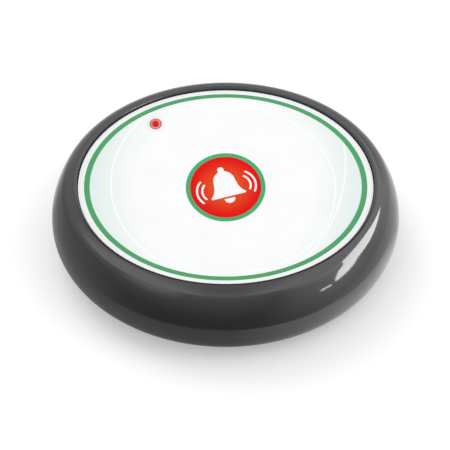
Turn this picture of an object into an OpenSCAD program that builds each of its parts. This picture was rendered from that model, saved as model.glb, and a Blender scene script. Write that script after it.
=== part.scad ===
// Wireless nurse call button: a round table puck whose whole printed face is pressed, with a lamp and
// a coin cell inside. Millimetres. X runs to the right, Y away from the user, Z up from the table.

/* [Body] */
// Diameter of the housing at its widest line
body_d = 86.2; // [84:0.2:92]
// Radius of the side below the widest line
belly_r = 9.4; // [9.2:0.1:10]
// Radius of the side above the widest line
side_r = 17.8; // [17:0.1:19]
// Radius of the crown of the rim
crown_r = 4; // [3.6:0.1:4.4]
// Width of the rim, from the widest line in to the opening for the face
rim_w = 6.4; // [6.2:0.1:6.6]
// Radius of the lip round the opening
lip_r = 0.5; // [0.3:0.05:0.6]
// Depth of the collar that guides the face
collar_h = 4.2; // [3.6:0.1:4.6]
// Width of the bottom edge of the upper housing
skirt_w = 2; // [1.8:0.1:2.2]
// Draft of the inner wall over its height
draft = 0.4; // [0.2:0.05:0.6]

/* [Base] */
// Thickness of the base
base_t = 2.4; // [2.2:0.1:2.6]
// Height of the locating lip on the base
base_lip_h = 2.2; // [1.5:0.1:3]
// Thickness of the locating lip
base_lip_t = 1.2; // [1:0.1:1.6]
// Clearance round the locating lip
base_lip_gap = 0.25; // [0.2:0.05:0.4]
// Width of the housing seal
seal_w = 0.8; // [0.6:0.1:0.9]
// Height of the housing seal
seal_h = 0.5; // [0.4:0.1:0.6]
// Height of the screw posts above the base
post_h = 3.8; // [3:0.1:4.5]
// Diameter of a rubber foot
foot_d = 8; // [6:0.5:9]
// Height by which the feet stand proud of the base
foot_h = 0.8; // [0.6:0.1:1]
// Depth of the seat of a foot in the base
foot_seat = 0.8; // [0.5:0.1:1.2]
// Distance of a foot's middle from the widest line
foot_in = 12.1; // [11.9:0.1:14]

/* [Face] */
// Thickness of the printed sheet
label_t = 0.5; // [0.3:0.1:0.6]
// Thickness of the adhesive under the sheet
adhesive_t = 0.2; // [0.1:0.05:0.3]
// Depth of the face below the rim
face_sunk = 0.85; // [0.5:0.05:1]
// Gap between the face and the opening
face_gap = 0.3; // [0.25:0.05:0.4]
// Thickness of the plate under the sheet
plate_t = 1.7; // [1.5:0.1:2]
// Thickness of the skirt of the plate
plate_skirt_t = 1.2; // [1:0.1:1.6]
// Width of the flange that holds the plate in
flange_w = 1.4; // [1.2:0.1:1.5]
// Thickness of that flange
flange_t = 1.5; // [1.2:0.1:1.8]
// Width of the two ribs that keep the plate from turning
rib_w = 2; // [1.6:0.1:3]
// Travel of the face
key_travel = 0.5; // [0.3:0.05:0.5]
// Height of the pusher under the plate
pusher_h = 0.6; // [0.4:0.1:1]

/* [Lamp] */
// Diameter of the lamp
led_d = 3; // [2:0.5:3]
// Length of the lamp with its flange
led_l = 5.3; // [5:0.1:6]
// Height of the lamp above the face
led_proud = 0.6; // [0.2:0.1:1]
// Distance of the lamp from the opening
led_in = 7.6; // [7:0.1:8]
// Turn of the lamp round the face, counted from the right
led_turn = 127.3; // [126:0.1:130]

/* [Switch] */
// Side of the push switch
switch_side = 12; // [11:0.5:13]
// Height of the switch over the board, without its plunger
switch_h = 3.6; // [3.4:0.1:4]
// Height of the plunger's top over the board
plunger_top = 7.3; // [7.2:0.1:7.5]
// Diameter of the plunger
plunger_d = 6.8; // [5:0.1:7]

/* [Board] */
// Distance of the circuit board's edge from the widest line
board_in = 10.1; // [9:0.1:10.5]
// Thickness of the circuit board
board_t = 1.6; // [1.2:0.2:1.6]

/* [Battery] */
// Diameter of the coin cell
cell_d = 20; // [19.8:0.1:20]
// Thickness of the coin cell
cell_t = 3.2; // [3:0.1:3.2]
// Thickness of the disc of the battery door
door_t = 1.2; // [1:0.1:1.4]
// Clearance round the battery door
door_gap = 0.25; // [0.15:0.05:0.4]
// Width of the coin slot in the battery door
coin_slot_w = 1.8; // [1.4:0.1:2.4]

/* [Screws] */
// Distance of a housing screw from the widest line
screw_in = 9.4; // [9.2:0.1:9.5]
// Diameter of a housing screw
screw_d = 2.4; // [2:0.1:2.6]
// Diameter of a housing screw's head
screw_head_d = 4.8; // [4:0.1:5]
// Distance of a board screw from the widest line
board_screw_in = 17.6; // [16.6:0.1:18]
// Diameter of a board screw
board_screw_d = 1.8; // [1.6:0.1:2]

/* [Hidden] */
$fn = 96;
cut = 0.5; // how far a cutter runs past a face
slip = 0.05; // clearance of a piece that is pushed into its seat
fit = 0.1; // clearance of a piece that drops into its seat

// Section of the housing: arcs of the belly, the side, the crown and the lip, each running into the next
body_r = body_d / 2;
base_turn = 70; // how far the belly turns in under the widest line
base_z = foot_h;
parting_z = base_z + base_t;
widest_z = base_z + belly_r * sin(base_turn);
parting_turn = asin((widest_z - parting_z) / belly_r);
opening_r = body_r - rim_w;
crest_r = opening_r + lip_r;
crest_run = side_r - (body_r - crest_r);
crest_rise = sqrt(pow(side_r - crown_r, 2) - pow(crest_run, 2));
crest_turn = atan2(crest_rise, crest_run);
rim_z = widest_z + crest_rise + crown_r;
edge_r = body_r - belly_r * (1 - cos(parting_turn));
skirt_r = edge_r - skirt_w;
inner_r = skirt_r - draft;
collar_z = rim_z - collar_h;
seal_r = skirt_r + seal_w;

// Heights of the face, its plate and the board
face_z = rim_z - face_sunk;
plate_top = face_z - label_t - adhesive_t;
plate_z = plate_top - plate_t;
plate_r = opening_r - face_gap;
flange_r = plate_r + flange_w;
flange_top = collar_z - slip;
flange_z = flange_top - flange_t;
pusher_z = plate_z - pusher_h;
board_top = pusher_z - slip - plunger_top;
board_z = board_top - board_t;
board_r = body_r - board_in;
press_spare = 0.3;

// Lamp
led_at = (opening_r - led_in) * [cos(led_turn), sin(led_turn)];
led_flange_w = 0.4;
led_flange_t = 1;
led_top = face_z + led_proud;
led_bottom = led_top - led_l;
led_pitch = 2.54;
lead_side = 0.5;

// Switch
switch_cover_t = 0.35;
switch_floor = 0.8;
plunger_foot = switch_floor + press_spare + key_travel;
plunger_brim = 0.75;
well_r = plunger_d / 2 + 2 * plunger_brim;
pin_pitch = 5;
pin_w = 0.7;
pin_t = 0.3;
pin_drop = 1.2;
pin_rise = 1;

// Battery: the cell lies in the neck of a door that turns by three lugs over the base
cell_gap = 0.3;
neck_r = cell_d / 2 + cell_gap;
neck_t = 1.1;
neck_h = 2.4;
lug_w = 1.6;
lug_turn = 30;
lug_gap_turn = 3;
lug_count = 3;
door_turn = 60;
door_rim = 2.1;
neck_out = neck_r + neck_t;
door_r = neck_out + door_rim;
door_top = base_z + door_t;
neck_top = door_top + neck_h;
well_wall = 1.2;
well_in = neck_out + lug_w + 2 * door_gap;
well_top = board_z - press_spare;
coin_slot_l = 16;
coin_slot_h = 0.6;
cell_z = door_top + slip;
cell_top = cell_z + cell_t;
cell_edge = 0.4;
cell_step = 0.3;
cell_cap_in = 1.6;
cell_cap_r = cell_d / 2 - cell_cap_in;
contact_t = 0.4;
contact_w = 4;
contact_tab = 2;
tab_rise = 0.8;
contact_z = neck_top + 2 * fit;
spring_wire = 0.5;
spring_turns = 2;
spring_wide_r = 4.2;
spring_narrow_r = 2.6;

// Feet, screws and bosses
foot_at = body_r - foot_in;
foot_edge = 0.4;
screw_at = body_r - screw_in;
board_screw_at = body_r - board_screw_in;
boss_wall = 2;
boss_room = 1.5; // room between a boss and what stands beside it on the board
post_wall = 1;
head_gap = 0.3;
post_top = parting_z + post_h;
screw_head_h = 1.6;
head_sunk = 1.6;
screw_l = 9;
screw_seat = base_z + head_sunk + screw_head_h;
screw_hole_r = screw_d / 2 + slip;
boss_r = screw_d / 2 + boss_wall;
boss_top = flange_z - key_travel - 2 * fit;
head_hole_r = screw_head_d / 2 + head_gap;
post_r = head_hole_r + post_wall;
board_post_wall = 1.5;
board_post_r = board_screw_d / 2 + board_post_wall;
board_screw_l = 5;
board_head_w = 1;
board_head_d = board_screw_d + 2 * board_head_w;
board_head_h = 1.3;
slot_w = 0.6;

// Parts that stand on the board
chip_at = [8, -18];
chip_size = [8.7, 3.9, 1.5];
chip_stand = 0.2;
chip_dot_d = 0.8;
chip_side_pins = 7;
chip_pin_pitch = 1.27;
chip_pin_reach = 1;
chip_pin_knee = 0.4;
chip_pin_t = 0.2;
resonator_at = [-9, -19];
resonator_d = 9;
resonator_brim = 0.5;
resonator_h = 3.4;
transistor_at = [11, 16.5];
transistor_size = [2.9, 1.3, 1];
transistor_pin = [0.4, 0.7, 0.3];
transistor_pitch = 0.95;
capacitor_d = 5;
capacitor_at = [capacitor_d / 2 + boss_r + boss_room - screw_at, 0];
capacitor_h = 5.4;
capacitor_groove = 0.35;
capacitor_groove_z = 1;
capacitor_groove_h = 0.5;
resistor_size = [2, 1.25, 0.5];
resistor_rows = [[-2, -20, 3], [17, -8, 4]]; // place of the first and number in the row
ceramic_size = [2, 1.25, 0.8];
ceramic_rows = [[1.6, -20, 2], [17, 5, 3], [-18, -5, 3]];
row_step = 2.2;
antenna_d = 5;
antenna_x = screw_at - boss_r - boss_room - antenna_d / 2;
antenna_wire = 0.8;
antenna_turns = 10;
antenna_pitch = 1.4;
antenna_r = (antenna_d - antenna_wire) / 2;
antenna_y = antenna_turns * antenna_pitch / 2;
antenna_z = board_top + antenna_d / 2 + slip;
coil_steps = 12;

// Points on an arc about (r, z); one that carries on from another arc leaves out its own first point
function arc(r, z, radius, from, to, n, first = 0) =
    [for (i = [first:n]) let (a = from + (to - from) * i / n) [r + radius * cos(a), z + radius * sin(a)]];

// Places round the middle
module at_sides(r) {
    for (turn = [0:90:270]) rotate(turn) translate([r, 0]) children();
}

module at_corners(r) {
    rotate(45) at_sides(r) children();
}

module at_lamp() {
    translate(led_at) children();
}

module post(r, from, to) {
    translate([0, 0, from]) cylinder(r = r, h = to - from);
}

module tube(r_out, r_in, from, to) {
    difference() {
        post(r_out, from, to);
        post(r_in, from - cut, to + cut);
    }
}

module box(size, at) {
    translate(at - [size.x / 2, size.y / 2, 0]) cube(size);
}

// A sector of a tube, centred on X
module sector(r_out, r_in, from, to, turn) {
    rotate_extrude(angle = turn, start = -turn / 2)
        translate([r_in, from]) square([r_out - r_in, to - from]);
}

module upper_housing() color([0.27, 0.27, 0.28]) {
    difference() {
        union() {
            rotate_extrude() polygon(concat(
                [[opening_r, collar_z], [inner_r, collar_z], [skirt_r, parting_z]],
                arc(body_r - belly_r, widest_z, belly_r, -parting_turn, 0, 8),
                arc(body_r - side_r, widest_z, side_r, 0, crest_turn, 8, 1),
                arc(crest_r, rim_z - crown_r, crown_r, crest_turn, 90, 8, 1),
                arc(crest_r, rim_z - lip_r, lip_r, 90, 180, 5, 1)));
            at_sides(screw_at) {
                post(boss_r, post_top, boss_top);
                web = skirt_r - screw_at;
                box([web, boss_r, boss_top - post_top], [web / 2, 0, post_top]);
            }
            turn_ribs(rib_w, flange_z - key_travel, skirt_r);
        }
        at_sides(screw_at) post(screw_hole_r, post_top - cut, screw_seat + screw_l + cut);
    }
}

// Two ribs in the housing, or the slots for them in the flange
module turn_ribs(w, from, reach) {
    foot_r = plate_r + face_gap;
    for (turn = [45, 225])
        rotate(turn) translate([foot_r, -w / 2, from]) cube([reach - foot_r, w, collar_z - from]);
}

module lower_housing() color([0.25, 0.25, 0.26]) {
    lip_out = skirt_r - base_lip_gap;
    difference() {
        union() {
            rotate_extrude() polygon(concat(
                [[0, parting_z], [0, base_z]],
                arc(body_r - belly_r, widest_z, belly_r, -base_turn, -parting_turn, 4)));
            tube(lip_out, lip_out - base_lip_t, parting_z - cut, parting_z + base_lip_h);
            tube(well_in + well_wall, well_in, parting_z - cut, well_top);
            at_sides(screw_at) post(post_r, parting_z - cut, post_top);
            at_corners(board_screw_at) post(board_post_r, parting_z - cut, board_z);
        }
        tube(seal_r + slip, seal_r - seal_w - slip, parting_z - seal_h, parting_z + cut);
        post(door_r + door_gap, 0, door_top + slip);
        post(neck_out + fit, 0, parting_z + cut);
        notch_r = neck_out + lug_w + door_gap;
        for (i = [0:lug_count - 1]) rotate(i * 360 / lug_count + door_turn)
            sector(notch_r, neck_r, base_z, parting_z + cut, lug_turn + 2 * lug_gap_turn);
        at_sides(screw_at) post(head_hole_r, 0, screw_seat);
        at_sides(screw_at) post(screw_d / 2 + 2 * fit, 0, post_top + cut);
        at_corners(board_screw_at) post(board_screw_d / 2 + slip, parting_z, board_z + cut);
        at_corners(foot_at) post(foot_d / 2 + fit, 0, base_z + foot_seat);
    }
}

module housing_seal() color([0.12, 0.12, 0.12]) {
    tube(seal_r, seal_r - seal_w, parting_z - seal_h, parting_z);
}

module rubber_feet() color([0.08, 0.08, 0.08]) {
    at_corners(foot_at) rotate_extrude() polygon(concat(
        [[0, base_z + foot_seat], [0, 0]],
        arc(foot_d / 2 - foot_edge, foot_edge, foot_edge, -90, 0, 4),
        [[foot_d / 2, base_z + foot_seat]]));
}

// The plate under the printed sheet, held in by its flange and pressed anywhere
module call_key() color([0.9, 0.9, 0.9]) {
    difference() {
        union() {
            post(plate_r, plate_z, plate_top);
            tube(plate_r, plate_r - plate_skirt_t, flange_z, plate_top);
            tube(flange_r, plate_r - plate_skirt_t, flange_z, flange_top);
            post(plunger_d / 2, pusher_z, plate_top);
        }
        turn_ribs(rib_w + 2 * face_gap, flange_z - cut, flange_r + cut);
        at_lamp() post(led_d / 2 + face_gap, plate_z - cut, plate_top + cut);
    }
}

module face_sheet(z, t, edge) {
    difference() {
        post(plate_r - edge, z, z + t);
        at_lamp() post(led_d / 2 + face_gap + edge, z - cut, z + t + cut);
    }
}

module face_label() color([0.96, 0.97, 0.97]) face_sheet(plate_top + adhesive_t, label_t, 0);

module label_adhesive() color([0.85, 0.82, 0.7]) face_sheet(plate_top, adhesive_t, 2 * fit);

module switch_base() color([0.1, 0.1, 0.1]) {
    difference() {
        box([switch_side, switch_side, switch_h - switch_cover_t], [0, 0, board_top]);
        post(well_r, board_top + switch_floor, board_top + switch_h);
    }
}

module switch_cover() color([0.75, 0.75, 0.77]) {
    top = board_top + switch_h;
    difference() {
        box([switch_side, switch_side, switch_cover_t], [0, 0, top - switch_cover_t]);
        post(plunger_d / 2 + fit, top - 2 * switch_cover_t, top + cut);
    }
}

module switch_plunger() color([0.15, 0.15, 0.16]) {
    foot = board_top + plunger_foot;
    post(plunger_d / 2, foot, board_top + plunger_top);
    post(plunger_d / 2 + plunger_brim, foot, board_top + switch_h - switch_cover_t - fit);
}

module at_switch_pins() {
    for (sx = [-1, 1], sy = [-1, 1])
        translate([sx * (switch_side + pin_t) / 2, sy * pin_pitch / 2]) children();
}

module switch_pins() color([0.78, 0.78, 0.74]) {
    at_switch_pins() box([pin_t, pin_w, board_t + pin_drop + pin_rise], [0, 0, board_z - pin_drop]);
}

module indicator_lamp() color([0.9, 0.1, 0.1]) {
    r = led_d / 2;
    brim_r = r + led_flange_w;
    brim_z = led_bottom + led_flange_t;
    at_lamp() rotate_extrude() polygon(concat(
        [[0, led_bottom], [brim_r, led_bottom], [brim_r, brim_z], [r, brim_z]],
        arc(0, led_top - r, r, 0, 90, 10)));
}

module at_lamp_leads() {
    at_lamp() for (side = [-1, 1]) translate([side * led_pitch / 2, 0]) children();
}

module lamp_leads() color([0.8, 0.8, 0.78]) {
    lead_l = led_bottom - board_z + pin_drop;
    at_lamp_leads() box([lead_side, lead_side, lead_l], [0, 0, board_z - pin_drop]);
}

module circuit_board() color([0.1, 0.4, 0.2]) {
    difference() {
        post(board_r, board_z, board_top);
        at_sides(screw_at) post(boss_r + cut, board_z - cut, board_top + cut);
        at_corners(board_screw_at) post(board_screw_d / 2 + 2 * fit, board_z - cut, board_top + cut);
        at_switch_pins() post(pin_w, board_z - cut, board_top + cut);
        at_lamp_leads() post(lead_side, board_z - cut, board_top + cut);
        at_contact()
            box([contact_t + 2 * fit, contact_tab + 2 * fit, board_t + 2 * cut], [0, 0, board_z - cut]);
        translate([antenna_x + antenna_r, antenna_y]) post(antenna_wire, board_z - cut, board_top + cut);
    }
}

module on_board(at) {
    translate([at.x, at.y, board_top]) children();
}

module encoder_chip() color([0.07, 0.07, 0.08]) {
    on_board(chip_at) difference() {
        box(chip_size, [0, 0, chip_stand]);
        translate([-chip_size.x / 2 + chip_size.y / 4, -chip_size.y / 4, chip_size.z])
            cylinder(d = chip_dot_d, h = cut);
    }
}

module chip_pins() color([0.78, 0.78, 0.76]) {
    side = chip_size.y / 2;
    knee = side + chip_pin_knee;
    toe = side + chip_pin_reach;
    rise = chip_stand + chip_size.z / 2;
    reach = (chip_side_pins - 1) / 2;
    on_board(chip_at) for (i = [-reach:reach], turn = [0, 180])
        rotate(turn) translate([i * chip_pin_pitch - pin_t / 2, 0, 0])
            rotate([90, 0, 90]) linear_extrude(pin_t) polygon([
                [side, rise], [knee + chip_pin_t, rise], [knee + chip_pin_t, chip_pin_t],
                [toe, chip_pin_t], [toe, 0], [knee, 0], [knee, rise - chip_pin_t],
                [side, rise - chip_pin_t]]);
}

module rf_resonator() color([0.8, 0.8, 0.8]) {
    on_board(resonator_at) {
        cylinder(d = resonator_d, h = resonator_brim);
        cylinder(d = resonator_d - 2 * resonator_brim, h = resonator_h);
    }
}

module rf_transistor() color([0.07, 0.07, 0.08]) {
    pin_y = (transistor_size.y + transistor_pin.y) / 2 - fit;
    on_board(transistor_at) {
        box(transistor_size, [0, 0, 0]);
        for (x = [-1, 1]) box(transistor_pin, [x * transistor_pitch, -pin_y, 0]);
        box(transistor_pin, [0, pin_y, 0]);
    }
}

module buffer_capacitor() color([0.2, 0.22, 0.3]) {
    on_board(capacitor_at) difference() {
        cylinder(d = capacitor_d, h = capacitor_h);
        tube(capacitor_d, capacitor_d / 2 - capacitor_groove, capacitor_groove_z,
            capacitor_groove_z + capacitor_groove_h);
    }
}

module chip_rows(rows, size) {
    for (row = rows, i = [0:row.z - 1]) on_board([row.x, row.y + i * row_step]) box(size, [0, 0, 0]);
}

module chip_resistors() color([0.1, 0.1, 0.12]) chip_rows(resistor_rows, resistor_size);

module chip_capacitors() color([0.66, 0.56, 0.42]) chip_rows(ceramic_rows, ceramic_size);

// Wire wound about Z: one tube along a list of points, with a ring of corners square to the path at each
function unit(v) = v / norm(v);

function wire_rings(path, r, sides) = [
    for (i = [0:len(path) - 1])
        let (
            ahead = path[min(i + 1, len(path) - 1)] - path[max(i - 1, 0)],
            out = unit([path[i].x, path[i].y, 0]),
            along = unit(ahead),
            side = unit(cross(along, out)),
            up = cross(side, along)
        )
        for (k = [0:sides - 1]) path[i] + r * (cos(360 * k / sides) * up + sin(360 * k / sides) * side)
];

function wire_faces(rings, sides) = concat(
    [for (i = [0:rings - 2], k = [0:sides - 1]) let (a = i * sides + k, b = i * sides + (k + 1) % sides)
        each [[a, b, a + sides], [b, b + sides, a + sides]]],
    [for (k = [1:sides - 2]) [0, k + 1, k]],
    [for (k = [1:sides - 2]) let (last = (rings - 1) * sides) [last, last + k, last + k + 1]]);

module wire(path, d, sides = 6) {
    polyhedron(points = wire_rings(path, d / 2, sides), faces = wire_faces(len(path), sides));
}

// A coil whose wire runs straight on, square to a radius, by the given length before and after the turns
function coil_path(r0, r1, turns, pitch, before, after) = concat(
    [[r0, -before, 0]],
    [for (i = [0:turns * coil_steps])
        let (a = 360 * i / coil_steps, r = r0 + (r1 - r0) * i / (turns * coil_steps))
        [r * cos(a), r * sin(a), pitch * i / coil_steps]],
    [[r1, after, pitch * turns]]);

function least_gap(path, d) = min([
    for (i = [0:len(path) - 1], j = [i + coil_steps / 2:1:len(path) - 1]) norm(path[i] - path[j])]) - d;

antenna_path = coil_path(
    antenna_r, antenna_r, antenna_turns, antenna_pitch, antenna_z - board_z + pin_drop, antenna_wire);
echo("least gap in the antenna, mm", least_gap(antenna_path, antenna_wire));

module spring_antenna() color([0.78, 0.6, 0.3]) {
    translate([antenna_x, antenna_y, antenna_z]) rotate([90, 0, 0]) wire(antenna_path, antenna_wire);
}

module battery() color([0.72, 0.73, 0.74]) {
    can_r = cell_d / 2;
    can_top = cell_top - cell_step;
    rotate_extrude() polygon([
        [0, cell_z], [can_r - cell_edge, cell_z], [can_r, cell_z + cell_edge], [can_r, can_top],
        [cell_cap_r, can_top], [cell_cap_r - cell_edge, cell_top], [0, cell_top]]);
}

module at_contact() {
    translate([cell_d / 2 + slip + contact_t / 2, 0]) children();
}

module battery_contact() color([0.8, 0.8, 0.78]) {
    at_contact() {
        box([contact_t, contact_w, board_z - contact_z], [0, 0, contact_z]);
        box([contact_t, contact_tab, board_top + tab_rise - contact_z], [0, 0, contact_z]);
    }
}

spring_reach = board_z - cell_top - spring_wire - 2 * slip;
spring_path = coil_path(
    spring_wide_r, spring_narrow_r, spring_turns, spring_reach / spring_turns, spring_wire, spring_wire);
echo("least gap in the battery spring, mm", least_gap(spring_path, spring_wire));

module battery_spring() color([0.8, 0.8, 0.78]) {
    translate([0, 0, board_z - spring_wire / 2 - slip]) rotate([180, 0, 0])
        wire(spring_path, spring_wire);
}

module battery_door() color([0.24, 0.24, 0.25]) {
    difference() {
        post(door_r, base_z, door_top);
        box([coin_slot_l, coin_slot_w, coin_slot_h + cut], [0, 0, base_z - cut]);
    }
    tube(neck_out, neck_r, door_top - fit, neck_top);
    for (i = [0:lug_count - 1]) rotate(i * 360 / lug_count)
        sector(neck_out + lug_w, neck_out - fit, parting_z + slip, neck_top, lug_turn);
}

module screw(d, l, head_d, head_h) {
    difference() {
        union() {
            translate([0, 0, -head_h]) cylinder(d = head_d, h = head_h);
            translate([0, 0, -cut]) cylinder(d = d, h = l + cut);
        }
        for (turn = [0, 90])
            rotate(turn) box([head_d - 2 * slot_w, slot_w, head_h / 2 + cut], [0, 0, -head_h - cut]);
    }
}

module housing_screws() color([0.7, 0.7, 0.72]) {
    at_sides(screw_at) translate([0, 0, screw_seat]) screw(screw_d, screw_l, screw_head_d, screw_head_h);
}

module board_screws() color([0.7, 0.7, 0.72]) {
    at_corners(board_screw_at) translate([0, 0, board_top]) mirror([0, 0, 1])
        screw(board_screw_d, board_screw_l, board_head_d, board_head_h);
}

upper_housing();
lower_housing();
housing_seal();
rubber_feet();
call_key();
face_label();
label_adhesive();
switch_base();
switch_cover();
switch_plunger();
switch_pins();
indicator_lamp();
lamp_leads();
circuit_board();
encoder_chip();
chip_pins();
rf_resonator();
rf_transistor();
spring_antenna();
buffer_capacitor();
chip_resistors();
chip_capacitors();
battery();
battery_contact();
battery_spring();
battery_door();
housing_screws();
board_screws();
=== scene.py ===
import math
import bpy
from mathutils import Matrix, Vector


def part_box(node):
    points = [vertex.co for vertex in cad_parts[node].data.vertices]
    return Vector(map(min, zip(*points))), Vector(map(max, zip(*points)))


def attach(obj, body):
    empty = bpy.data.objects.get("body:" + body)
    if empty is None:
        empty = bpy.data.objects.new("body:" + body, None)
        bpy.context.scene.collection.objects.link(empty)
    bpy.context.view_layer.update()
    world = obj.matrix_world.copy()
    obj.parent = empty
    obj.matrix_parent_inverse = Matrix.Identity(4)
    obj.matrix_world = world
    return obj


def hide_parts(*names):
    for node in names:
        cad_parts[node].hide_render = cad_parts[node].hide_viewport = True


bl_info = {
    "name": "Nurse Call Button",
    "version": (1, 0, 0),
    "blender": (4, 5, 0),
    "location": "View3D > Sidebar > Call Button",
    "description": "Dresses the packed call button and sets up its studio",
    "category": "Object",
}

import bmesh
import bpy
from bpy.props import FloatProperty, FloatVectorProperty, PointerProperty
from mathutils import Vector

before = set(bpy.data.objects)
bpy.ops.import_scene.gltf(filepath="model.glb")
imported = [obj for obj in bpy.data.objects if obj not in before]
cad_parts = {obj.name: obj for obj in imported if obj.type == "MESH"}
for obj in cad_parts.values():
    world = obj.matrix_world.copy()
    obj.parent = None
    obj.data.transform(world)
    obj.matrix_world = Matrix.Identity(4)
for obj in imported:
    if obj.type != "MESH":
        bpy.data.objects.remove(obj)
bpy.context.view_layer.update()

MM = 0.001
BLACK = (0.0, 0.0, 0.0, 1.0)
WHITE = (1.0, 1.0, 1.0, 1.0)

# Numbers of the mix node's colour sockets, which share their names with others
MIX_FIRST = 6
MIX_SECOND = 7
MIX_RESULT = 2

# Boxes of the pieces that are dressed or fitted, from the frame
HOUSING_LOW, HOUSING_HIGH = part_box("upper_housing")
BASE_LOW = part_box("lower_housing")[0]
SHEET_LOW, SHEET_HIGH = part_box("face_label")
LAMP_LOW, LAMP_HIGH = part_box("indicator_lamp")
LAMP_X = (LAMP_LOW[0] + LAMP_HIGH[0]) / 2
LAMP_Y = (LAMP_LOW[1] + LAMP_HIGH[1]) / 2
SHEET_RADIUS = SHEET_HIGH[0]

# Mesh steps in a full turn, and the angle above which an edge is sharp
ROUND_STEPS = 240
EMBLEM_STEPS = 160
LENS_STEPS = 64
HOLE_STEPS = 48
SHARP_ANGLE = math.radians(35)

# Distance below which two points of a mesh are one
MERGE_DISTANCE = 1e-7

# Places of the screw bosses and of the ribs, in degrees
BOSS_TURNS = (0, 90, 180, 270)
RIB_TURNS = (45, 225)

# Thin white curves of the face: place and radius in millimetres, and the side where each shows, -1 for left
WHITE_CURVES = ((-1.7, 1.4, 26.6, -1), (3.8, -1.3, 23.2, 1), (-12.9, 9.6, 42.7, 1))
CURVE_FADE = 8.0 * MM

# Half widths of the soft edges in the materials
PRINT_SOFTNESS = 0.07 * MM
# Soft edge of the painted shade round the opening
GAP_SHADE_SOFTNESS = 0.2 * MM
GLOW_SOFTNESS = 0.65 * MM

# How much closer the drawn lines of the metals lie along each axis
DRAWN_LINES = (1.0, 12.0, 1.0)

# Soft edge of the lamp's lit core, as shares of its radius
CORE_EDGE = (0.9, 1.12)

# Shape of the bell: shares of its half width, then of its height, then of the knob's radius
BELL_WAIST = 0.56
BELL_TAPER = 0.10
BELL_FLARE = 0.34
BELL_FOOT = 0.97
BELL_LIP = 0.06
BELL_SHOULDER = 0.62
KNOB_RISE = 0.55
KNOB_NECK = 0.8

# How fast the flare of the bell ends, and the steps up its side
FLARE_DECAY = 5.5
BELL_STEPS = 24

# Edges of the light cards, in degrees round the object and millimetres of height, and their step in degrees
FRONT_EDGE = ((-222, 0), (-52, 0), (-22, 10), (5, 12.5), (60, 12.5))
TABLE_ENDS = (-222, 8)
SKY_ENDS = (-180, 180)
WINDOW_TAIL = ((-50, 15.3, 16.1), (-44.5, 15.2, 16.1))
WINDOW_EDGE = (
    (-42, 16, 17.5), (-34, 17, 27), (-30, 18, 37.5), (-15, 24.5, 46.5), (-1, 32, 49.5), (11, 37, 38))
CARD_STEP = 4

# Soft lights: place and side in metres, and power in watts
SOFT_LIGHTS = {
    "key_light": ((-0.45, 0.55, 0.9), 0.7, 2.6),
    "fill_light": ((0.6, -0.2, 0.8), 0.6, 1.2),
}

# Half the side of the floor, in metres
FLOOR_REACH = 4.0

# Side of the picture in pixels, and the camera's film and nearest sight
PICTURE_SIDE = 450
SENSOR_WIDTH = 36.0
CLIP_START = 0.01


def length(name, description, default_mm):
    """A length property, given in millimetres and kept in metres."""
    return FloatProperty(name=name, description=description, default=default_mm * MM, min=0.0,
                         unit="LENGTH", precision=5)


def angle(name, description, default_degrees):
    """An angle property, given in degrees and kept in radians."""
    return FloatProperty(name=name, description=description, default=math.radians(default_degrees),
                         subtype="ANGLE")


def stretch(name, description, default):
    """A property for the height of a round print over its width."""
    return FloatProperty(name=name, description=description, default=default, min=0.5, max=2.0)


def strength(name, description, default):
    """A property for the strength of a light."""
    return FloatProperty(name=name, description=description, default=default, min=0.0)


def share(name, description, default):
    """A property for a share between 0 and 1."""
    return FloatProperty(name=name, description=description, default=default, min=0.0, max=1.0,
                         subtype="FACTOR")


def pixel(name, description, default):
    """A property for a column or a row of the picture."""
    return FloatProperty(name=name, description=description, default=default, subtype="PIXEL")


def colour(name, description, default):
    """A linear colour property."""
    return FloatVectorProperty(name=name, description=description, default=default, size=3,
                               min=0.0, max=1.0, subtype="COLOR")


class HousingSettings(bpy.types.PropertyGroup):
    """Sizes and colours of the housing"""

    belly_radius: length("Belly radius", "Radius of the side below the widest line", 9.4)
    side_radius: length("Side radius", "Radius of the side above the widest line", 17.8)
    crown_radius: length("Crown radius", "Radius of the crown of the rim", 4.0)
    rim_width: length("Rim width", "Width of the rim, from the widest line in to the opening", 6.4)
    lip_radius: length("Lip radius", "Radius of the lip round the opening", 0.5)
    collar_depth: length("Collar depth", "Depth of the collar that guides the face", 4.2)
    skirt_width: length("Skirt width", "Width of the bottom edge of the upper housing", 2.0)
    inner_draft: length("Inner draft", "Draft of the inner wall", 0.4)
    boss_inset: length("Boss inset", "Distance of a screw boss from the widest line", 9.4)
    boss_radius: length("Boss radius", "Radius of a screw boss", 3.2)
    boss_bottom: length("Boss bottom", "Height of the lower end of a screw boss", 7.0)
    boss_top: length("Boss top", "Height of the upper end of a screw boss", 14.171)
    hole_radius: length("Hole radius", "Radius of the hole in a screw boss", 1.25)
    hole_top: length("Hole top", "Height of the end of the hole in a screw boss", 13.5)
    rib_width: length("Rib width", "Width of a rib that keeps the face from turning", 2.0)
    rib_bottom: length("Rib bottom", "Height of the lower end of a rib", 14.371)
    band_thickness: length("Band thickness", "Thickness of the smooth band round the base", 0.8)
    # Painted shade: the dark line round the opening stands in for the shade in the gap at the lip
    gap_shade_width: length("Painted shade width", "Width of the dark line round the opening", 0.8)
    shell_colour: colour("Shell", "Colour of the glossy housing", (0.031, 0.031, 0.034))
    gap_shade_colour: colour("Seam", "Colour of the dark line round the opening", (0.005, 0.005, 0.005))
    base_colour: colour("Base", "Colour of the satin base", (0.028, 0.028, 0.030))


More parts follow.
